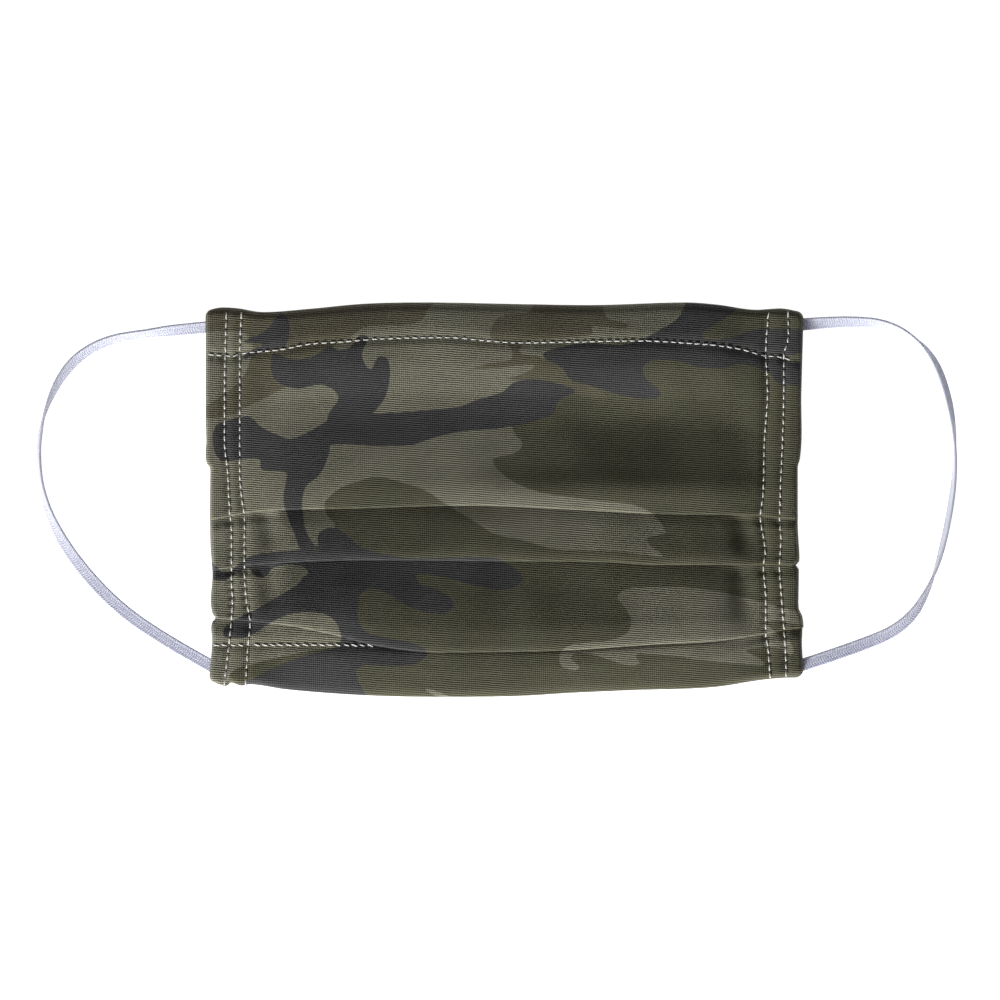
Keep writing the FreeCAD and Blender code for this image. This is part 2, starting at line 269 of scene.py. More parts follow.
def row_edge(panel, side, y, upper, lower):
    """How far out the cloth's side edge lies at y."""
    edge = hermite(SIDE_EDGE[side], y) + EDGE_PROUD[panel]
    return edge - corner_cut(panel, y, upper, lower)


def row_points(panel, side, row, columns):
    """One row of the grid: its points, and their places on the cloth itself."""
    kind, value, round_share = row
    distance, share, on_front = columns
    nominal = HALF_WIDTH - distance
    upper = hermite(UPPER_LINES[panel], side * nominal)
    lower = hermite(LOWER_LINES[panel], side * nominal)
    y, drop = section_place(panel, kind, value, upper, lower)
    stretch = np.clip(nominal / HALF_WIDTH, 0, 1) ** 6
    x = side * (nominal + (row_edge(panel, side, y, upper, lower) - HALF_WIDTH) * stretch)
    rounding = share * round_share
    top = MIDDLE_Z + (height(panel, x, y) - MIDDLE_Z) * rounding - drop * share
    bottom = MIDDLE_Z - (MIDDLE_Z - BACK_Z - 0.1 * panel) * rounding
    z = np.where(~on_front | (kind == "back"), bottom, top)
    z = np.where((kind == "back") & on_front, bottom + 0.35 * smoothstep(75, 79, np.abs(x)), z)
    wrap = np.where(on_front, x, side * (2 * HALF_WIDTH + SIDE_WRAP - np.abs(x)))
    cloth = np.stack([wrap, section_cloth(kind, value, y, upper, lower), z * 0], axis=1)
    return np.stack([x, y, z], axis=1), cloth


def cells_to_keep(rows, on_front):
    """The cells of the grid that are made: not where two back layers meet, or a fold's turn is in a hem."""
    on_back = np.array([kind == "back" for kind, _, _ in rows])
    both_back = on_back[:, None] & ~on_front[None, :]
    keep = ~(both_back[:-1, :-1] | both_back[1:, 1:])
    turned = np.array([kind in ("roll", "under") for kind, _, _ in rows])
    return keep & ~(turned[1:, None] & ~on_front[None, 1:])


def panel_points(panel, side):
    """The grid of one half of a panel, as (x, y, z), the cloth's own coordinates, and the cells to keep."""
    columns = [np.array(c) for c in zip(*across_columns())]
    rows = section_rows(panel)
    made = [row_points(panel, side, row, columns) for row in rows]
    points = np.array([m[0] for m in made])
    cloth = np.array([m[1] for m in made])
    return points, cloth, cells_to_keep(rows, columns[2])


def section_rows(panel):
    """Rows of a panel from its upper end to its lower end: (kind, value, share of the rounding)."""
    rows = []
    if panel == UPPER:
        edge = edge_steps(1.0, NOSE_HEM_DEPTH, EDGE_ROUND)
        rows += [("back", d, f) for d, f in edge[:0:-1]]
        rows += [("edge", d, f) for d, f in edge[:8]]
        rows += [("front", t, 1.0) for t in np.linspace(0.065, 1, 62)]
    else:
        rows += [("hidden", -h, 1.0) for h in np.linspace(HIDDEN, 1.2, 18)]
        count = {FIRST: 20, SECOND: 30, CHIN: 16}[panel]
        rows += [("front", t, 1.0) for t in np.linspace(0, 0.74 if panel == CHIN else 1, count)]
    if panel == CHIN:
        edge = edge_steps(1.0, CHIN_TURN, EDGE_ROUND)
        rows += [("edge", d, f) for d, f in edge[:7][::-1]]
        rows += [("back", d, f) for d, f in edge[1:]]
    else:
        rows += [("roll", a, 1.0) for a in np.linspace(0, math.pi, 10)[1:]]
        rows += [("under", u, 1.0) for u in (1.5, 3.0, 5.0, 7.0)]
    return rows


def section_place(panel, kind, value, upper, lower):
    """Where a row lies: its y, and how far it drops below the front of the cloth."""
    if kind in ("edge", "back"):
        y = lower + value if panel == CHIN else upper - value
        return y, y * 0
    if kind == "hidden":
        return upper - value, upper * 0
    if kind == "front":
        end = 0 if panel == CHIN else FOLD_ROUND
        return upper + (lower + end - upper) * value, upper * 0
    if kind == "roll":
        y = lower + FOLD_ROUND - FOLD_ROUND * math.sin(value)
        return y, y * 0 + FOLD_ROUND * (1 - math.cos(value))
    return lower + FOLD_ROUND + value, lower * 0 + 2 * FOLD_ROUND


def section_cloth(kind, value, y, upper, lower):
    """The row's place along the cloth itself, so that the print and weave run on round folds."""
    if kind == "back":
        return np.where(y > 0, 2 * upper + SIDE_WRAP - y, 2 * lower - SIDE_WRAP - y)
    if kind == "roll":
        return lower + FOLD_ROUND - FOLD_ROUND * value
    if kind == "under":
        return lower - 2 * FOLD_ROUND - value
    return y


def corner_cut(panel, y, upper, lower):
    """How much a corner's rounding takes off the side edge."""
    if panel == UPPER:
        gap = upper - y
    elif panel == CHIN:
        gap = y - lower
    else:
        return y * 0
    into = np.clip(CORNER_ROUND - gap, 0, CORNER_ROUND)
    return CORNER_ROUND - np.sqrt(np.clip(CORNER_ROUND**2 - into**2, 0, None))


# --- The print: blots of colour on the flat cloth, each a closed line of points -------------------
LIGHT = [
    [(-96, 66), (58, 66), (53, 55.5), (46.5, 51), (40, 47.5), (25, 45), (14, 43.5), (11, 41), (12, 37),
     (4, 34), (2, 28), (2.5, 21), (5.4, 17), (3, 14), (-3.6, 12), (0.8, 6.6), (9.4, 2.6), (22, 0.4),
     (34, -0.8), (40.3, -2), (44, -3.9), (46.5, -6.4), (48.6, -10), (43.1, -11.4), (44, -13.8),
     (47.7, -17.2), (37, -15.9), (28, -15.3), (15.6, -15), (6.4, -12.5), (-3, -10.3), (-8.3, -7.1),
     (-17, -1.8), (-24, 2.9), (-29, 4.5), (-37.7, 6.9), (-43.6, 5.7), (-49.5, 3.4), (-53.6, 0),
     (-54.2, -2.4), (-53.4, -5), (-51.2, -7.7), (-54, -12), (-57.5, -17), (-56, -24), (-50, -34),
     (-46.5, -38), (-48.5, -44), (-56, -45.2), (-67, -47.2), (-76, -49.6), (-82, -51.6), (-85, -56),
     (-96, -60)],
    [(34, -29.4), (36.6, -27), (43.4, -26.4), (52.7, -26.4), (62, -27.3), (71, -29.2), (80, -31.7),
     (92, -35), (92, -38), (83.5, -36.8), (79, -37), (82, -40.3), (86, -42.8), (87.2, -46), (85.4, -46.6),
     (83, -44.8), (77.3, -44.6), (72.6, -45.6), (76.7, -47.7), (78.3, -50), (71, -49.6), (59, -48.3),
     (49.6, -47.1), (39.9, -46.6), (40.6, -49.4), (36.6, -49.9), (31.7, -48.3), (26, -46.6), (21.4, -46.4),
     (20, -48), (22.7, -50.5), (20.6, -51.4), (17.2, -50.2), (16.5, -47.1), (18.7, -44.3), (24.3, -43.1),
     (31, -42.5), (36.6, -40.3), (38.2, -36.6), (36.6, -32.9)],
    [(-24.4, -57), (-20, -58), (-15, -60.5), (-20, -59.6)],
]
BROWN = [
    [(-96, 66), (-23.4, 66), (-23.4, 57), (-26, 53.6), (-32, 52.5), (-41, 52.4), (-46.5, 49), (-52, 46),
     (-55, 40), (-66, 34), (-73, 30.4), (-79, 27.5), (-85, 25), (-92, 25), (-90, 28.2), (-84, 32.2),
     (-79.5, 36.3), (-77.4, 40), (-76, 46), (-78, 50), (-84, 51), (-96, 51.5)],
    [(-4.4, 49), (-3, 53.5), (0.2, 55.8), (8, 57), (10, 66), (27, 66), (30.4, 55.4), (36.4, 53.3),
     (37.3, 52), (34, 51.6), (26.6, 52.3), (26, 49.6), (15.6, 48.6), (8.2, 48), (5, 46), (5, 44),
     (10.7, 43), (17.5, 39.3), (25, 35), (31, 31), (22, 31.5), (12, 36), (0, 36), (6.4, 38.3), (9.4, 40.7),
     (3.3, 40.3), (-3, 39.6), (-9.4, 39.5), (-5, 41), (1.4, 42), (2.2, 45), (0, 47)],
]
CHARCOAL = [
    [(-70, 44), (-69.5, 36.5), (-63, 33.5), (-55, 34.7), (-50, 31), (-53, 26), (-53, 22), (-46, 22),
     (-40, 26), (-36, 31), (-34.5, 38), (-35.4, 42.6), (-38, 43), (-40.6, 39.2), (-43, 43.5), (-41.2, 48.8),
     (-43.6, 49.6), (-46.5, 46), (-50, 45), (-53, 46), (-58, 43), (-64, 42.2)],
    [(-58, 20.5), (-50, 25), (-41, 25.8), (-30, 26.5), (-15, 27.8), (-8, 30.2), (-1, 32.3), (3, 35.4),
     (9, 36.3), (16, 35), (21.5, 32.6), (16.5, 30.2), (14, 25.5), (6, 23), (-2, 21.5), (-14, 20.4),
     (-22, 18.5), (-28, 16.5), (-38, 16.2), (-46, 16.7), (-54, 17)],
    [(-87.4, 22), (-80, 24.8), (-76.5, 24.8), (-73.5, 22), (-68, 19.3), (-64, 18.4), (-58, 21), (-52, 24),
     (-52.4, 17), (-53.5, 12), (-56, 7.2), (-59.8, 4), (-61, -1), (-60.6, -6), (-59.5, -10.5), (-57, -14.6),
     (-61.4, -15), (-63.5, -10), (-65.5, -5), (-66.6, 0), (-66, 5), (-66, 8.3), (-73.3, 9), (-73.8, 12.2),
     (-80, 12.2), (-84, 11.5), (-87.4, 14)],
    [(-89, -18.4), (-84.5, -22), (-80, -19.3), (-76, -16.8), (-68, -15.6), (-60.5, -15), (-56.5, -14.8),
     (-56.2, -10.6), (-53.6, -8.6), (-50, -8.9), (-47, -11.2), (-43.6, -14.2), (-36, -16.5), (-28, -17.6),
     (-15, -17.4), (-3, -17.6), (2, -20), (5.4, -23.6), (2, -26.7), (-3, -27), (-11, -25.3), (-20, -23),
     (-26.5, -22.6), (-25.6, -25.4), (-20.5, -27.1), (-16.5, -29.5), (-15.6, -32.4), (-19, -34.4),
     (-24.2, -33.9), (-30, -31.8), (-35, -28.3), (-40.6, -26.6), (-44.2, -29), (-50, -30), (-56, -27),
     (-59, -22.4), (-61, -20.2), (-65.5, -19.5), (-70, -20.8), (-72, -23.2), (-75.4, -23), (-77.5, -20.8),
     (-82, -23), (-85, -24.5), (-89, -23.4)],
    [(-59, -22.5), (-63, -26), (-69, -29.5), (-76, -33.6), (-83, -37.1), (-85, -40.7), (-81.8, -41.8),
     (-77, -41.2), (-70, -36.8), (-64, -34.3), (-57, -33.9), (-52.4, -35.4), (-49.8, -38.9), (-49.5, -43),
     (-52, -45), (-58.3, -46.5), (-67, -49.5), (-74, -53), (-79, -57), (-60, -62), (-42, -62),
     (-44.8, -53.6), (-43.4, -50.2), (-37.7, -50), (-29, -50), (-24, -47.7), (-24.2, -44.8), (-29, -42.9),
     (-35, -41.8), (-42.2, -39.5), (-44.4, -34.8), (-44.2, -28.5), (-50, -25)],
    [(11.3, 43.6), (17.5, 46.1), (25, 47.2), (34, 46.6), (40.3, 48), (46.5, 51), (52.7, 55.4), (58.8, 66),
     (73, 66), (70, 57.8), (65, 54), (60, 50.4), (60.5, 48.4), (68, 48.7), (77.3, 51.6), (93, 50.5),
     (93, 45.5), (84, 42.6), (93, 40), (93, 35), (83, 35), (80, 38), (76, 39.9), (71, 41), (66, 39.6),
     (59, 39.9), (51.4, 42), (44, 41.8), (41.5, 39.3), (43, 36), (47.1, 32.6), (45, 30.5), (37, 31),
     (28, 33.8), (20, 36.2), (17.2, 39.9)],
    [(-79, 47.6), (-73, 50.4), (-69.5, 54), (-67.7, 56.3), (-65.4, 54.6), (-64.8, 51), (-66, 46.4),
     (-70.1, 45.2), (-76, 43.4), (-80, 41.8), (-77, 44.8), (-72, 47)],
]


def closed_curve(points, per_side=5):
    """A smooth closed line through the points."""
    p = np.array(points, float)
    before, after, next_but_one = np.roll(p, 1, 0), np.roll(p, -1, 0), np.roll(p, -2, 0)
    lines = []
    for u in np.arange(per_side) / per_side:
        lines.append(0.5 * (
            2 * p + (after - before) * u + (2 * before - 5 * p + 4 * after - next_but_one) * u**2
            + (3 * p - before - 3 * after + next_but_one) * u**3
        ))
    return np.stack(lines, axis=1).reshape(-1, 2)


FAR = 6.0                      # mm: distances beyond this don't matter to the print


def signed_distance(at, blots):
    """How far inside the nearest blot each point is: above 0 inside, below 0 outside."""
    best = np.full(len(at), -FAR)
    for blot in blots:
        line = closed_curve(blot)
        near = np.all((at > line.min(0) - FAR) & (at < line.max(0) + FAR), axis=1)
        chosen = at[near]
        if not len(chosen):
            continue
        a, b = line, np.roll(line, -1, 0)
        closest = np.full(len(chosen), FAR)
        inside = np.zeros(len(chosen), bool)
        for start, end in zip(a, b):
            way = end - start
            u = np.clip(((chosen - start) @ way) / max(way @ way, 1e-9), 0, 1)
            closest = np.minimum(closest, np.linalg.norm(chosen - start - u[:, None] * way, axis=1))
            crosses = (start[1] > chosen[:, 1]) != (end[1] > chosen[:, 1])
            rise = way[1] if way[1] else 1e-9
            inside ^= crosses & (chosen[:, 0] < start[0] + way[0] * (chosen[:, 1] - start[1]) / rise)
        best[near] = np.maximum(best[near], np.where(inside, closest, -closest))
    return best


def print_attributes(cloth):
    flat = cloth.reshape(-1, 3)
    at = flat[:, :2]
    return [
        ("cloth", "FLOAT_VECTOR", flat),
        ("light", "FLOAT", signed_distance(at, LIGHT)),
        ("brown", "FLOAT", signed_distance(at, BROWN)),
        ("charcoal", "FLOAT", signed_distance(at, CHARCOAL)),
    ]


# --- Node helpers ---------------------------------------------------------------------------------


class Nodes:
    """A material's node tree, with short calls for what the materials here need."""

    def __init__(self, name):
        self.material = bpy.data.materials.new(name)
        self.material.use_nodes = True
        self.tree = self.material.node_tree
        self.shader = self.tree.nodes["Principled BSDF"]

    def add(self, kind, inputs=(), **settings):
        node = self.tree.nodes.new(kind)
        for key, value in settings.items():
            setattr(node, key, value)
        for key, value in dict(inputs).items():
            self.feed(node.inputs[key], value)
        return node

    def feed(self, socket, value):
        if isinstance(value, bpy.types.NodeSocket):
            self.tree.links.new(value, socket)
        else:
            socket.default_value = value

    def math(self, operation, a, b=0.0, c=0.0):
        node = self.add("ShaderNodeMath", {0: a, 1: b, 2: c}, operation=operation)
        return node.outputs[0]

    def attribute(self, name):
        return self.add("ShaderNodeAttribute", attribute_name=name).outputs

    def noise(self, vector, scale, detail=2.0, roughness=0.5):
        inputs = {"Vector": vector, "Scale": scale, "Detail": detail, "Roughness": roughness}
        return self.add("ShaderNodeTexNoise", inputs).outputs["Fac"]

    def ramp(self, value, low, high, to_low=0.0, to_high=1.0):
        """value from low..high to to_low..to_high, held at both ends."""
        inputs = {"Value": value, "From Min": low, "From Max": high, "To Min": to_low, "To Max": to_high}
        return self.add("ShaderNodeMapRange", inputs).outputs[0]

    def mix(self, share, a, b, blend="MIX"):
        node = self.tree.nodes.new("ShaderNodeMix")
        node.data_type = "RGBA"
        node.blend_type = blend
        self.feed(node.inputs[0], share)
        self.feed(node.inputs[6], a)
        self.feed(node.inputs[7], b)
        return node.outputs[2]

    def darken(self, shade, amount):
        """A colour times one number."""
        grey = self.add("ShaderNodeCombineColor", {0: amount, 1: amount, 2: amount}).outputs[0]
        return self.mix(1.0, shade, grey, "MULTIPLY")

    def wave(self, value, pitch):
        """A sine from 0 to 1 with this pitch along value."""
        turned = self.math("MULTIPLY_ADD", value, 2 * math.pi / pitch, 0.0)
        return self.math("MULTIPLY_ADD", self.math("SINE", turned), 0.5, 0.5)

    def bump(self, height_value, distance, strength=1.0):
        inputs = {"Height": height_value, "Distance": distance, "Strength": strength}
        return self.add("ShaderNodeBump", inputs).outputs[0]


def colour(red, green, blue):
    """Screen values from 0 to 255 as a linear colour."""
    linear = [((v / 255 + 0.055) / 1.055) ** 2.4 if v > 10 else v / 255 / 12.92 for v in (red, green, blue)]
    return (*linear, 1.0)


RIB_PITCH = 0.66
WARP_PITCH = 0.62


def weave(n, coordinates):
    """The cloth's ribs and warp as one height from 0 to 1."""
    split = n.add("ShaderNodeSeparateXYZ", {0: coordinates}).outputs
    wobble = n.math("MULTIPLY", n.noise(coordinates, 0.35, 2), 1.4)
    slant = n.math("MULTIPLY_ADD", split[0], 0.08, split[1])
    rib = n.wave(n.math("ADD", slant, n.math("MULTIPLY", wobble, 0.25)), RIB_PITCH)
    warp = n.wave(split[0], WARP_PITCH)
    share = n.ramp(n.noise(coordinates, 0.06, 1), 0.35, 0.65, 0.5, 0.85)
    rest = n.math("SUBTRACT", 1.0, share)
    return n.math("ADD", n.math("MULTIPLY", rib, share), n.math("MULTIPLY", warp, rest))


def camo_material():
    """Printed polyester: four colours over a ribbed weave."""
    n = Nodes("camo_cloth")
    coordinates = n.attribute("cloth")["Vector"]
    thread = weave(n, coordinates)
    ragged = n.math("MULTIPLY_ADD", n.noise(coordinates, 1.6, 2), 0.5, -0.25)
    shade = colour(87, 86, 67)
    for name, tone in (("light", (124, 122, 105)), ("brown", (98, 94, 75)), ("charcoal", (67, 67, 67))):
        inside = n.math("ADD", n.attribute(name)["Fac"], ragged)
        shade = n.mix(n.ramp(inside, -0.12, 0.12), shade, colour(*tone))
    shade = n.darken(shade, n.ramp(n.noise(coordinates, 0.05, 3), 0.3, 0.7, 0.88, 1.08))
    shade = n.darken(shade, n.ramp(thread, 0.1, 0.75, 0.45, 1.1))
    n.feed(n.shader.inputs["Base Color"], shade)
    n.feed(n.shader.inputs["Roughness"], n.ramp(thread, 0, 1, 0.92, 0.68))
    n.shader.inputs["Specular IOR Level"].default_value = 0.25
    n.shader.inputs["Sheen Weight"].default_value = 0.12
    n.shader.inputs["Sheen Roughness"].default_value = 0.5
    creases = n.noise(coordinates, 0.22, 4, 0.6)
    n.feed(n.shader.inputs["Normal"],
           n.bump(n.math("MULTIPLY_ADD", creases, 1.2, thread), 0.00022, 0.8))
    return n.material


def lining_material():
    """Plain dark cotton."""
    n = Nodes("lining_cloth")
    coordinates = n.attribute("cloth")["Vector"]
    split = n.add("ShaderNodeSeparateXYZ", {0: coordinates}).outputs
    woven = n.math("MULTIPLY", n.wave(split[0], 0.5), n.wave(split[1], 0.5))
    slubs = n.noise(coordinates, 0.9, 3)
    level = n.math("MULTIPLY_ADD", slubs, 0.5, woven)
    shade = n.mix(n.ramp(level, 0, 1.2), colour(26, 27, 25), colour(62, 62, 58))
    n.feed(n.shader.inputs["Base Color"], shade)
    n.feed(n.shader.inputs["Roughness"], n.ramp(level, 0, 1, 0.95, 0.8))
    n.shader.inputs["Sheen Weight"].default_value = 0.2
    n.feed(n.shader.inputs["Normal"], n.bump(level, 0.0002, 0.7))
    return n.material


def elastic_material():
    """White braided elastic: fine ribs across, a beaded edge each side."""
    n = Nodes("braided_elastic")
    split = n.add("ShaderNodeSeparateXYZ", {0: n.attribute("cloth")["Vector"]}).outputs
    side = n.math("ABSOLUTE", split[1])
    slant = n.math("MULTIPLY_ADD", side, 0.35, split[0])
    rib = n.wave(slant, 0.75)
    lengthwise = n.wave(split[1], 0.8)
    edge = n.ramp(side, 1.55, 1.75)
    level = n.math("MULTIPLY_ADD", lengthwise, 0.3, n.math("MULTIPLY_ADD", edge, 0.5, rib))
    worn = n.noise(n.attribute("cloth")["Vector"], 0.3, 2)
    base = n.mix(n.ramp(level, 0, 1.2), colour(158, 160, 175), colour(190, 191, 203))
    n.feed(n.shader.inputs["Base Color"], n.mix(n.ramp(worn, 0.4, 0.8, 0, 0.25), base, colour(180, 181, 192)))
    n.feed(n.shader.inputs["Roughness"], n.ramp(level, 0, 1.4, 0.85, 0.6))
    n.shader.inputs["Sheen Weight"].default_value = 0.15
    n.shader.inputs["Subsurface Weight"].default_value = 1.0
    n.shader.inputs["Subsurface Radius"].default_value = (1, 1, 1)
    n.shader.inputs["Subsurface Scale"].default_value = 0.0015
    n.feed(n.shader.inputs["Normal"], n.bump(level, 0.00012, 0.6))
    return n.material


def thread_material():
    """White spun polyester, with the twist of its plies."""
    n = Nodes("thread")
    split = n.add("ShaderNodeSeparateXYZ", {0: n.attribute("cloth")["Vector"]}).outputs
    twist = n.wave(n.math("ADD", split[0], n.math("MULTIPLY", split[1], 1.2)), 0.42)
    n.feed(n.shader.inputs["Base Color"], n.mix(twist, colour(205, 204, 198), colour(245, 245, 242)))
    n.feed(n.shader.inputs["Roughness"], n.ramp(twist, 0, 1, 0.7, 0.5))
    n.feed(n.shader.inputs["Normal"], n.bump(twist, 0.0001, 0.6))
    return n.material


def wire_material():
    """Soft drawn aluminium, scratched along its length."""
    n = Nodes("nose_wire")
    place = n.add("ShaderNodeTexCoord").outputs["Object"]
    long = n.add("ShaderNodeMapping", {0: place, 3: (60, 2500, 2500)}).outputs[0]
    lines = n.noise(long, 1.0, 3)
    n.feed(n.shader.inputs["Base Color"], n.mix(lines, colour(180, 181, 184), colour(222, 223, 225)))
    n.feed(n.shader.inputs["Roughness"], n.ramp(lines, 0.2, 0.8, 0.3, 0.5))
    n.shader.inputs["Metallic"].default_value = 1.0
    n.feed(n.shader.inputs["Normal"], n.bump(lines, 0.00005, 0.5))
    return n.material


CAMO = camo_material()
LINING = lining_material()
ELASTIC = elastic_material()
THREAD = thread_material()
WIRE = wire_material()


def finish_piece(piece, material, nodes=()):
    piece.data.materials.append(material)
    if nodes:
        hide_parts(*nodes)
    return piece


def follow(piece, panel):
    """The upper panel rides on the mask; a sliding strip only has its transform baked into its points and is
    attached to no body.
    """
    if panel == UPPER:
        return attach(piece, "mask_body")
    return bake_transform(piece)


def cloth_half(panel, side, name):
    points, cloth, keep = panel_points(panel, side)
    faces = grid_faces(keep)
    if side > 0:
        faces = faces[:, ::-1]
    return make_mesh(name, points.reshape(-1, 3), faces, print_attributes(cloth))


def outer_cloth():
    pieces = []
    for side, word in SIDES:
        piece = cloth_half(UPPER, side, "upper_panel_cloth_" + word)
        nodes = ["upper_panel_outer", "top_hem"] if side < 0 else []
        nodes += [word + "_side_hem", word + "_pleat_ends"]
        finish_piece(piece, CAMO, nodes)
        follow(piece, UPPER)
        pieces.append((piece, UPPER, side))
        for panel, label in STRIPS.items():
            piece = cloth_half(panel, side, label + "_cloth_" + word)
            nodes = [label + "_outer"] + (["chin_hem"] if panel == CHIN else [])
            finish_piece(piece, CAMO, nodes)
            follow(piece, panel)
            pieces.append((piece, panel, side))
    return pieces


OUTER = outer_cloth()

# --- Lining ---------------------------------------------------------------------------------------
LINING_INNER = 77.8
LINING_THICK = 0.45


def seen_height(panel, side):
    """How tall the seen part of a panel is, half-way along one half."""
    middle = side * HALF_WIDTH / 2
    return float(hermite(UPPER_LINES[panel], middle) - hermite(LOWER_LINES[panel], middle))


def lining_flat_height(panel, side):
    """The lining strip's height as it is cut: what is seen, and what is hidden under the fold above."""
    if panel == UPPER:
        return seen_height(panel, side) - NOSE_HEM_DEPTH
    if panel == CHIN:
        return HIDDEN + float(hermite(FOLD_3, side * HALF_WIDTH / 2)) - CHIN_HEM_LINE
    return seen_height(panel, side) + HIDDEN


def outer_flat_height(panel, side):
    """The outer cloth's height as it is cut: what is seen, what is above it, and what is turned under."""
    above = NOSE_HEM_DEPTH if panel == UPPER else HIDDEN
    below = CHIN_TURN if panel == CHIN else UNDER_FOLD
    return above + seen_height(panel, side) + below


def lining_plane(panel):
    """The slope that the CAD strip lies on: (upper y, its z, lower y, its z)."""
    low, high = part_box(PANELS[panel] + "_lining")
    return high.y * 1000, low.z * 1000, low.y * 1000, high.z * 1000 - LINING_THICK


def lining_half(panel, side, name):
    """One half of a lining strip, from under the fold above it to its own fold."""
    high_y, high_z, low_y, low_z = lining_plane(panel)
    columns = np.linspace(LINING_INNER, 0, 60) * side
    rows = np.linspace(0, 1, 30)
    points = []
    for t in rows:
        upper = high_y + 0 * columns
        lower = hermite(LOWER_LINES[panel], columns)
        if panel == UPPER:
            upper = hermite(NOSE_EDGE, columns) - NOSE_HEM_DEPTH + 0.6
            lower = lower + 0.9
        elif panel == CHIN:
            upper = hermite(FOLD_3, columns) + HIDDEN
            lower = CHIN_HEM_LINE - 0.8 + 0 * columns
        else:
            lower = lower + 0.9
            upper = hermite(UPPER_LINES[panel], columns) + HIDDEN
        y = upper + (lower - upper) * t
        z = high_z + (low_z - high_z) * np.clip((high_y - y) / (high_y - low_y), 0, 1) + 0.16
        z = z + 0.12 * waves(columns, y, 30 + panel, 30)
        z = z + 0.35 * smoothstep(70, LINING_INNER, np.abs(columns))
        points.append(np.stack([columns, y, np.maximum(z, 0.05)], axis=1))
    points = np.array(points)
    faces = grid_faces(np.ones((len(rows) - 1, len(columns) - 1), bool))
    if side < 0:
        faces = faces[:, ::-1]
    flat = points.reshape(-1, 3)
    return make_mesh(name, flat, faces, [("cloth", "FLOAT_VECTOR", flat * [1, 1, 0])])


def lining_cloth():
    for side, word in SIDES:
        for panel, label in PANELS.items():
            piece = lining_half(panel, side, label + "_lining_" + word)
            finish_piece(piece, LINING, [label + "_lining"])
            follow(piece, panel)
            flat = mm((LINING_INNER, lining_flat_height(panel, side)))


lining_cloth()

# --- Topstitching ---------------------------------------------------------------------------------
STITCH_LENGTH = 2.0
STITCH_WIDTH = 0.43
STITCH_RAISED = 0.22
STEEPEST_STITCH = 0.8
RING = 6                       # points round a stitch, and steps along it
RNG = np.random.default_rng(7)


def surface_z(x, y, panel=None):
    """The height of one panel, or of the topmost cloth, at some points."""
    x, y = np.atleast_1d(x).astype(float), np.atleast_1d(y).astype(float)
    if panel is not None:
        return height(panel, x, y)
    z = np.full(len(x), -9.0)
    for panel in range(4):
        upper = hermite(UPPER_LINES[panel], x)
        lower = hermite(LOWER_LINES[panel], x)
        here = (y <= upper + 0.01) & (y > lower)
        z = np.where(here & (z < -8), height(panel, x, y), z)
    return z


def one_stitch(centre, direction, up, length, width):
    """A stitch as a low rounded bead: a ring of points at each of several places along it."""
    sideways = np.cross(up, direction)
    places = np.linspace(-1, 1, RING + 1)
    points, cloth = [], []
    for place in places:
        swell = math.sqrt(max(0.0, 1 - abs(place) ** 3)) * 0.92 + 0.08
        dive = -0.3 * place**6
        for k in range(RING):
            angle = 2 * math.pi * k / RING
            out = sideways * math.cos(angle) * width / 2 * swell
            lift = up * (math.sin(angle) * width * 0.34 * swell + dive)
            points.append(centre + direction * place * length / 2 + out + lift)
            cloth.append((place * length / 2, width * angle / 2, 0))
    return points, cloth


def stitch_faces(start):
    faces = []
    for step in range(RING):
        for k in range(RING):
            a = start + step * RING + k
            b = start + step * RING + (k + 1) % RING
            faces.append((a, b, b + RING, a + RING))
    faces.append(tuple(start + k for k in range(RING - 1, -1, -1)))
    faces.append(tuple(start + RING * RING + k for k in range(RING)))
    return faces


def stitch_direction(row, at, along_y, turn):
    """Which way a stitch points: along its row, turned a little in the plane of the cloth."""
    rise = float(hermite(row, at + 0.5)) - float(hermite(row, at))
    ahead = (rise, 0.5) if along_y else (0.5, rise)
    c, s = math.cos(turn), math.sin(turn)
    direction = np.array([ahead[0] * c - ahead[1] * s, ahead[0] * s + ahead[1] * c, 0])
    return direction / np.linalg.norm(direction)


def seat_stitch(x, y, direction, panel):
    """A stitch's centre on the cloth, and its direction tilted with the cloth where that isn't a step."""
    ends = surface_z([x - direction[0], x, x + direction[0]], [y - direction[1], y, y + direction[1]], panel)
    tilt = float(ends[2] - ends[0]) / 2
    if abs(tilt) < STEEPEST_STITCH:
        direction = np.array([direction[0], direction[1], tilt])
        direction /= np.linalg.norm(direction)
    return np.array([x, y, float(ends[1]) + STITCH_RAISED]), direction


def stitch_row(name, row, along_y, first, last, lean=0.0, panel=None):
    """A row of stitches from first to last along a smooth line."""
    points, cloth, faces = [], [], []
    up = np.array([0, 0, 1.0])
    at = first
    while at < last:
        pitch = STITCH_PITCH * RNG.uniform(0.94, 1.06)
        across = float(hermite(row, at))
        x, y = (across, at) if along_y else (at, across)
        direction = stitch_direction(row, at, along_y, RNG.normal(0, 0.06) + lean)
        centre, direction = seat_stitch(x, y, direction, panel)
        length = STITCH_LENGTH * RNG.uniform(0.9, 1.1)
        width = STITCH_WIDTH * RNG.uniform(0.9, 1.1)
        made, own = one_stitch(centre, direction, up, length, width)
        faces += stitch_faces(len(points))
        points += made
        cloth += own
        at += pitch
    return make_mesh(name, points, faces, [("cloth", "FLOAT_VECTOR", cloth)])


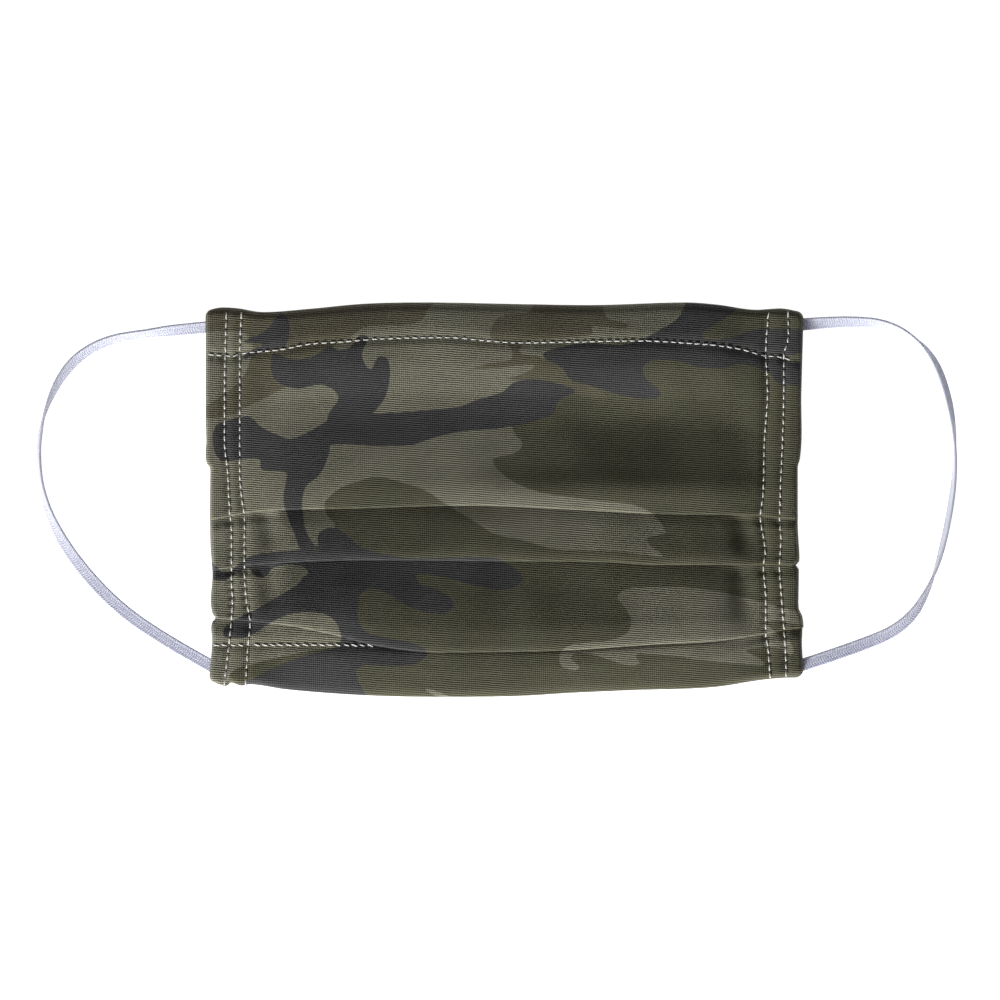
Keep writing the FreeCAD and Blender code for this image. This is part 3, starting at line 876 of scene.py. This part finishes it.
def topstitching():
    rows = [("left_outer", LEFT_OUTER, -55, 57), ("left_inner", LEFT_INNER, -55, 57),
            ("right_inner", RIGHT_INNER, -53, 57), ("right_outer", RIGHT_OUTER, -52.5, 57)]
    for label, row, first, last in rows:
        piece = stitch_row(label + "_stitches", row, True, first, last)
        finish_piece(piece, THREAD, [label + "_stitching"])
        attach(piece, "mask_body")
    piece = stitch_row("top_hem_stitches", TOP_ROW, False, -88.5, 87)
    finish_piece(piece, THREAD, ["top_hem_stitching"])
    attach(piece, "mask_body")
    for side, first, last in ((-1, -87, -0.5), (1, 0.6, 76)):
        name = "chin_hem_stitches_" + ("left" if side < 0 else "right")
        piece = stitch_row(name, CHIN_ROW, False, first, last, lean=-0.25, panel=CHIN)
        finish_piece(piece, THREAD, ["chin_hem_stitching"])
        follow(piece, CHIN)


topstitching()

# --- Ear loops: flat elastic, twisting along its length -------------------------------------------
SWING_X = 92.3
LOOP_Z = 2.05
ELASTIC_WIDTH = 4.0
ELASTIC_THICK = 0.95
# Each route starts and ends inside its hem. x is measured outwards from the swing line, as in the CAD.
LEFT_ROUTE = [(-4.3, 52.2), (14.7, 50.6), (30.7, 47.6), (41.7, 38.5), (48.7, 21.5), (48.0, 3.0),
              (41.9, -12.5), (28.7, -29.0), (13.2, -41.0), (-4.3, -50.6)]
RIGHT_ROUTE = [(-4.3, 52.8), (12.7, 54.2), (26.2, 52.6), (36.9, 44.8), (42.5, 29.5), (44.3, 12.0),
               (41.6, -8.0), (36.9, -25.5), (29.2, -38.0), (14.7, -44.5), (-4.3, -50.6)]
# The face's turn from lying flat, in degrees, at shares of the loop's length from its upper end
LEFT_TWIST = [(0, 22), (0.08, 34), (0.13, 56), (0.2, 50), (0.27, 48), (0.33, 66), (0.38, 90),
              (0.43, 104), (0.5, 104), (0.56, 118), (0.63, 146), (0.72, 165), (0.86, 171), (1, 172)]
RIGHT_TWIST = [(0, 22), (0.06, 30), (0.13, 48), (0.19, 72), (0.225, 92), (0.28, 116), (0.35, 118),
               (0.41, 104), (0.46, 90), (0.53, 76), (0.6, 74), (0.66, 84), (0.7, 104), (0.76, 136),
               (0.84, 164), (0.92, 173), (1, 172)]


def route_line(name, side, route):
    """Points in mm read from the smooth spline that the route's points control."""
    curve = bpy.data.curves.new(name, "CURVE")
    curve.dimensions = "3D"
    curve.resolution_u = 24
    spline = curve.splines.new("NURBS")
    spline.points.add(len(route) - 1)
    for point, (out, y) in zip(spline.points, route):
        point.co = (*mm((side * (SWING_X + out), y, LOOP_Z)), 1)
    spline.order_u = 3
    spline.use_endpoint_u = True
    holder = bpy.data.objects.new(name, curve)
    bpy.context.scene.collection.objects.link(holder)
    bpy.context.view_layer.update()
    mesh = bpy.data.meshes.new_from_object(holder)
    line = np.array([v.co for v in mesh.vertices]) * 1000
    bpy.data.objects.remove(holder)
    bpy.data.meshes.remove(mesh)
    return line


def even_line(line, step):
    along = np.concatenate([[0], np.cumsum(np.linalg.norm(np.diff(line, axis=0), axis=1))])
    at = np.linspace(0, along[-1], int(along[-1] / step) + 1)
    return np.stack([np.interp(at, along, line[:, k]) for k in range(3)], axis=1), at


def ribbon_section():
    """The elastic's section: flat with beaded edges, as (across, through) points."""
    half, thick = ELASTIC_WIDTH / 2, ELASTIC_THICK / 2
    upper = [(-half, 0), (-half * 0.94, thick * 0.8), (-half * 0.8, thick), (-half * 0.66, thick * 0.72),
             (-half * 0.3, thick * 0.8), (0, thick * 0.84), (half * 0.3, thick * 0.8),
             (half * 0.66, thick * 0.72), (half * 0.8, thick), (half * 0.94, thick * 0.8), (half, 0)]
    return upper + [(a, -b) for a, b in upper[-2:0:-1]]


def ribbon_faces(rings, count):
    """The sides of a ribbon of this many rings, and its two ends."""
    index = np.arange(rings * count).reshape(rings, count)
    around = np.roll(index, -1, axis=1)
    faces = np.stack([index[:-1], around[:-1], around[1:], index[1:]], axis=2).reshape(-1, 4)
    return [tuple(f) for f in faces] + [tuple(index[0][::-1]), tuple(index[-1])]


def ear_loop(word, side, route, twist):
    line, along = even_line(route_line("route", side, route), 0.5)
    section = ribbon_section()
    direction = np.gradient(line, axis=0)
    direction /= np.linalg.norm(direction, axis=1)[:, None]
    up = np.array([0, 0, 1.0])
    points, cloth = [], []
    for place, way, distance in zip(line, direction, along):
        flat = np.cross(up, way) * side
        angle = math.radians(float(hermite(twist, distance / along[-1])))
        across = flat * math.cos(angle) + up * math.sin(angle)
        through = np.cross(way, across)
        for a, b in section:
            points.append(place + across * a + through * b)
            cloth.append((distance, a, 0))
    piece = make_mesh(word + "_loop_elastic", points, ribbon_faces(len(line), len(section)),
                      [("cloth", "FLOAT_VECTOR", cloth)])
    finish_piece(piece, ELASTIC, [word + "_ear_loop", word + "_sewn_elastic"])
    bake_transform(piece)


ear_loop("left", -1, LEFT_ROUTE, LEFT_TWIST)
ear_loop("right", 1, RIGHT_ROUTE, RIGHT_TWIST)

# --- Nose wire ------------------------------------------------------------------------------------
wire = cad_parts["nose_wire"]
wire.data.materials.clear()
wire.data.materials.append(WIRE)

# --- Outer cloth: each piece's flat size, worked out but not used ---------------------------------
for piece, panel, side in OUTER:
    flat = mm((HALF_WIDTH + SIDE_TURN, outer_flat_height(panel, side)))


# --- Floor and light ------------------------------------------------------------------------------
def make_floor():
    """A plain pale floor. It glows, so that no shadow is seen on it."""
    mesh = bpy.data.meshes.new("floor")
    half = 6.0
    corners = [(-half, -half, 0), (half, -half, 0), (half, half, 0), (-half, half, 0)]
    mesh.from_pydata(corners, [], [(0, 1, 2, 3)])
    floor = bpy.data.objects.new("floor", mesh)
    floor.location = (0, 0, -0.0001)
    bpy.context.scene.collection.objects.link(floor)
    n = Nodes("floor")
    n.shader.inputs["Base Color"].default_value = (0.93, 0.93, 0.93, 1)
    n.shader.inputs["Roughness"].default_value = 0.9
    n.shader.inputs["Specular IOR Level"].default_value = 0.1
    n.shader.inputs["Emission Color"].default_value = (1, 1, 1, 1)
    n.shader.inputs["Emission Strength"].default_value = 0.9
    mesh.materials.append(n.material)


def area_light(name, place, size, power):
    """A soft box that faces the mask."""
    data = bpy.data.lights.new(name, "AREA")
    data.shape = "RECTANGLE"
    data.size, data.size_y = size
    data.energy = power
    lamp = bpy.data.objects.new(name, data)
    lamp.location = place
    lamp.rotation_euler = (-Vector(place)).to_track_quat("-Z", "Y").to_euler()
    bpy.context.scene.collection.objects.link(lamp)


def make_light():
    area_light("key", (-0.78, -1.76, 0.6), (0.8, 0.5), 84)
    area_light("front", (0, 0.2, 2.4), (1.2, 1.2), 6)
    world = bpy.data.worlds.new("world")
    bpy.context.scene.world = world
    world.use_nodes = True
    world.node_tree.nodes["Background"].inputs[0].default_value = (1, 1, 1, 1)
    world.node_tree.nodes["Background"].inputs[1].default_value = 0.07
    bpy.context.scene.view_settings.view_transform = "Standard"


make_floor()
make_light()
